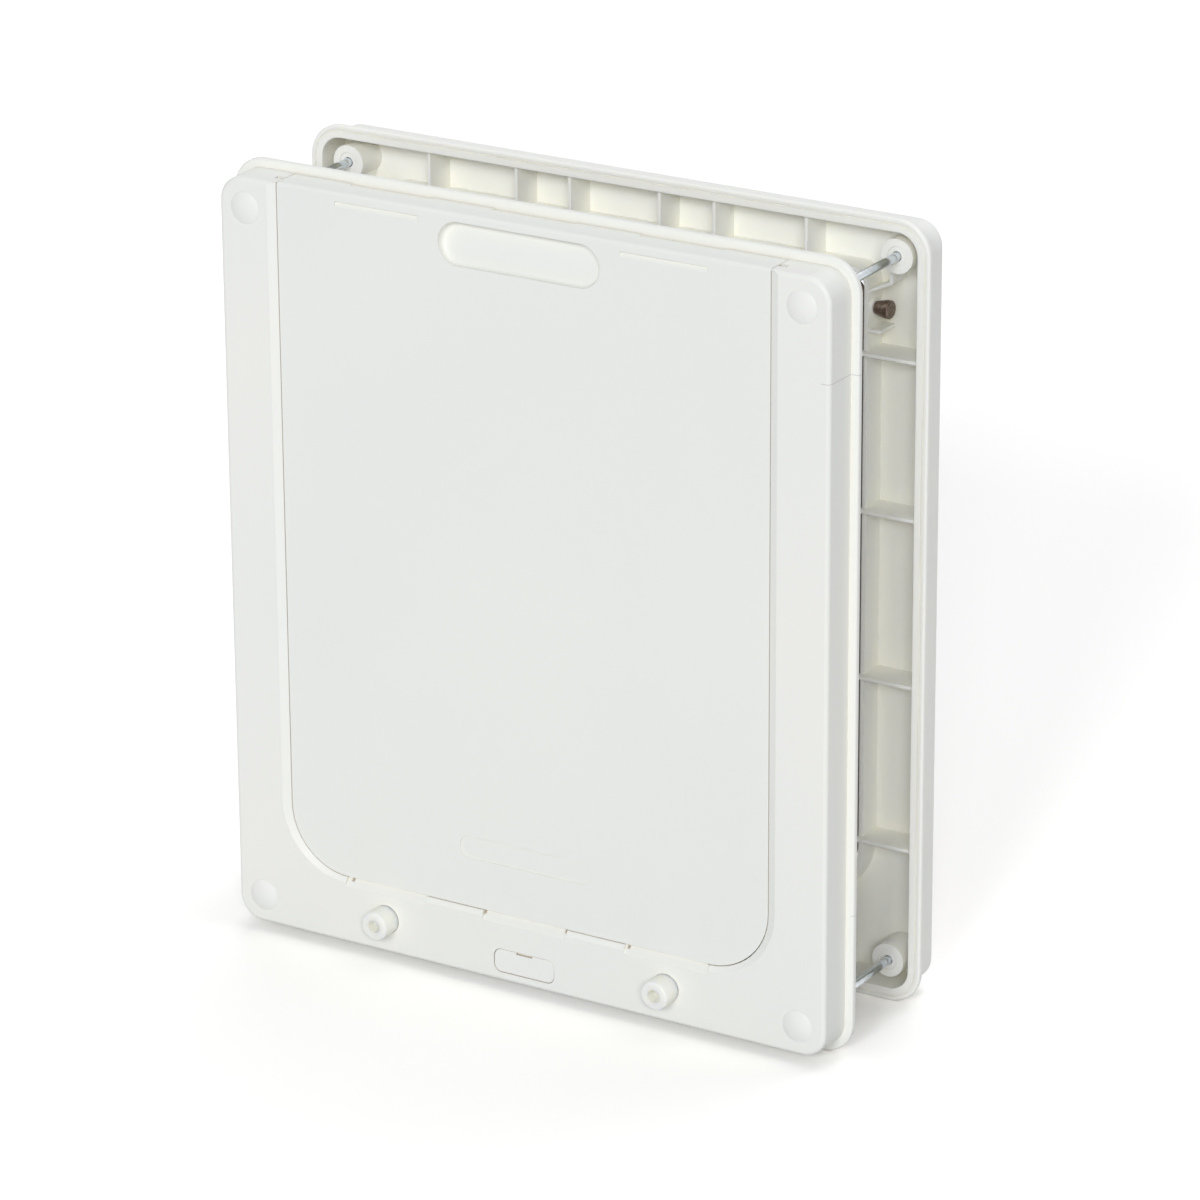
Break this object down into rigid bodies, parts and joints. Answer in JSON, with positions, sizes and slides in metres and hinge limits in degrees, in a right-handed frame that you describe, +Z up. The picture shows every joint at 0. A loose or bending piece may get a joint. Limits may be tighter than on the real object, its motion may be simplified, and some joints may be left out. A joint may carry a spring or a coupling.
{
  "type": "dog door",
  "caption": "Flap door for a dog, set in a house door: two ribbed frames clamped by long bolts, a swinging flap, and a slide-in closing panel held by push pegs.",
  "frame": {"origin": "middle of the space that the whole door takes, on the ground that its two flanges stand on", "axes": "+X to the right when the closing panel is looked at, +Y from the front frame through the house door to the rear frame, +Z up"},
  "size_m": [0.4, 0.1404, 0.46],
  "materials": {
    "frame_plastic": "fine moulded texture",
    "panel_plastic": "fine spark texture",
    "peg_plastic": "satin",
    "trim_plastic": "satin",
    "zinc": "bright zinc plate",
    "flap_tint": "smoked, glossy",
    "pin_bronze": "dark bronze, satin",
    "bristle": "nylon fibres",
    "magnet": "sintered, matt"
  },
  "bodies": {
    "root": {"front_frame": "frame_plastic", "rear_frame": "frame_plastic", "oval_cover": "trim_plastic", "screw_cap_front_1": "trim_plastic", "screw_cap_front_2": "trim_plastic", "screw_cap_front_3": "trim_plastic", "screw_cap_front_4": "trim_plastic", "screw_cap_rear_1": "trim_plastic", "screw_cap_rear_2": "trim_plastic", "screw_cap_rear_3": "trim_plastic", "screw_cap_rear_4": "trim_plastic", "clamp_bolt_1": "zinc", "clamp_bolt_2": "zinc", "clamp_bolt_3": "zinc", "clamp_bolt_4": "zinc", "clamp_nut_1": "zinc", "clamp_nut_2": "zinc", "clamp_nut_3": "zinc", "clamp_nut_4": "zinc", "hinge_pin_left": "pin_bronze", "hinge_pin_right": "pin_bronze", "draught_brush_left": "bristle", "draught_brush_right": "bristle", "draught_brush_sill": "bristle", "sill_magnet": "magnet"},
    "panel": {"closing_panel": "panel_plastic"},
    "flap": {"flap": "flap_tint", "flap_magnet": "magnet"},
    "peg_left": {"locking_peg_left": "peg_plastic"},
    "peg_right": {"locking_peg_right": "peg_plastic"}
  },
  "joints": [
    {"name": "panel_slide", "type": "slide", "parent": "root", "child": "panel", "axis": [0, 0, 1], "range_m": [0, 0.44]},
    {"name": "flap_hinge", "type": "hinge", "parent": "root", "child": "flap", "pos_m": [0, 0.0552, 0.4035], "axis": [1, 0, 0], "range_deg": [-14, 85]},
    {"name": "peg_left_push", "type": "slide", "parent": "root", "child": "peg_left", "axis": [0, 1, 0], "range_m": [0, 0.008]},
    {"name": "peg_right_push", "type": "slide", "parent": "root", "child": "peg_right", "axis": [0, 1, 0], "range_m": [0, 0.008]}
  ]
}
